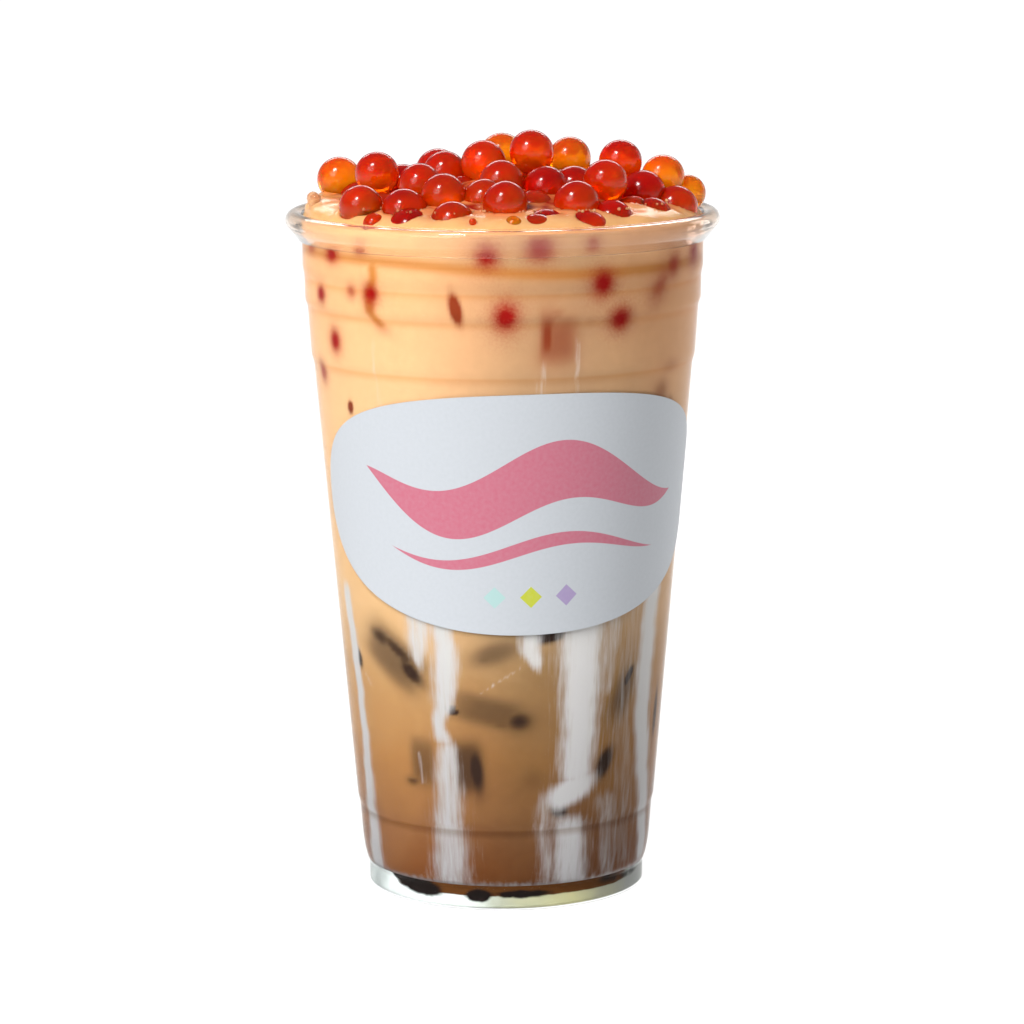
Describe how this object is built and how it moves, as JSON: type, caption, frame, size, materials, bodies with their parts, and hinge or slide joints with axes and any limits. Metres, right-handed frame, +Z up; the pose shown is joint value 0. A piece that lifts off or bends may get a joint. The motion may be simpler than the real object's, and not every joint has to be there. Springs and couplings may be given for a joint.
{
  "type": "bubble tea",
  "caption": "Clear tapered cold-drink cup with a rolled rim, full of layered milk tea, heaped with red popping pearls and wearing an oval paper label.",
  "frame": {"origin": "centre of the foot's underside, on the surface that the cup stands on", "axes": "+Z up along the cup's axis, -Y towards the front, where the label is, +X to the right"},
  "size_m": [0.098, 0.098, 0.173],
  "materials": {
    "clear_pet": "clear thermoformed plastic, glossy",
    "milk": "white milk",
    "milk_tea": "milk tea, peach at the top and brown below",
    "pearls": "wet translucent red jelly",
    "label_paper": "coated label paper, satin"
  },
  "bodies": {
    "root": {"cup": "clear_pet", "milk_base": "milk", "milk_tea": "milk_tea", "pearl_heap": "pearls", "label": "label_paper"}
  },
  "joints": []
}
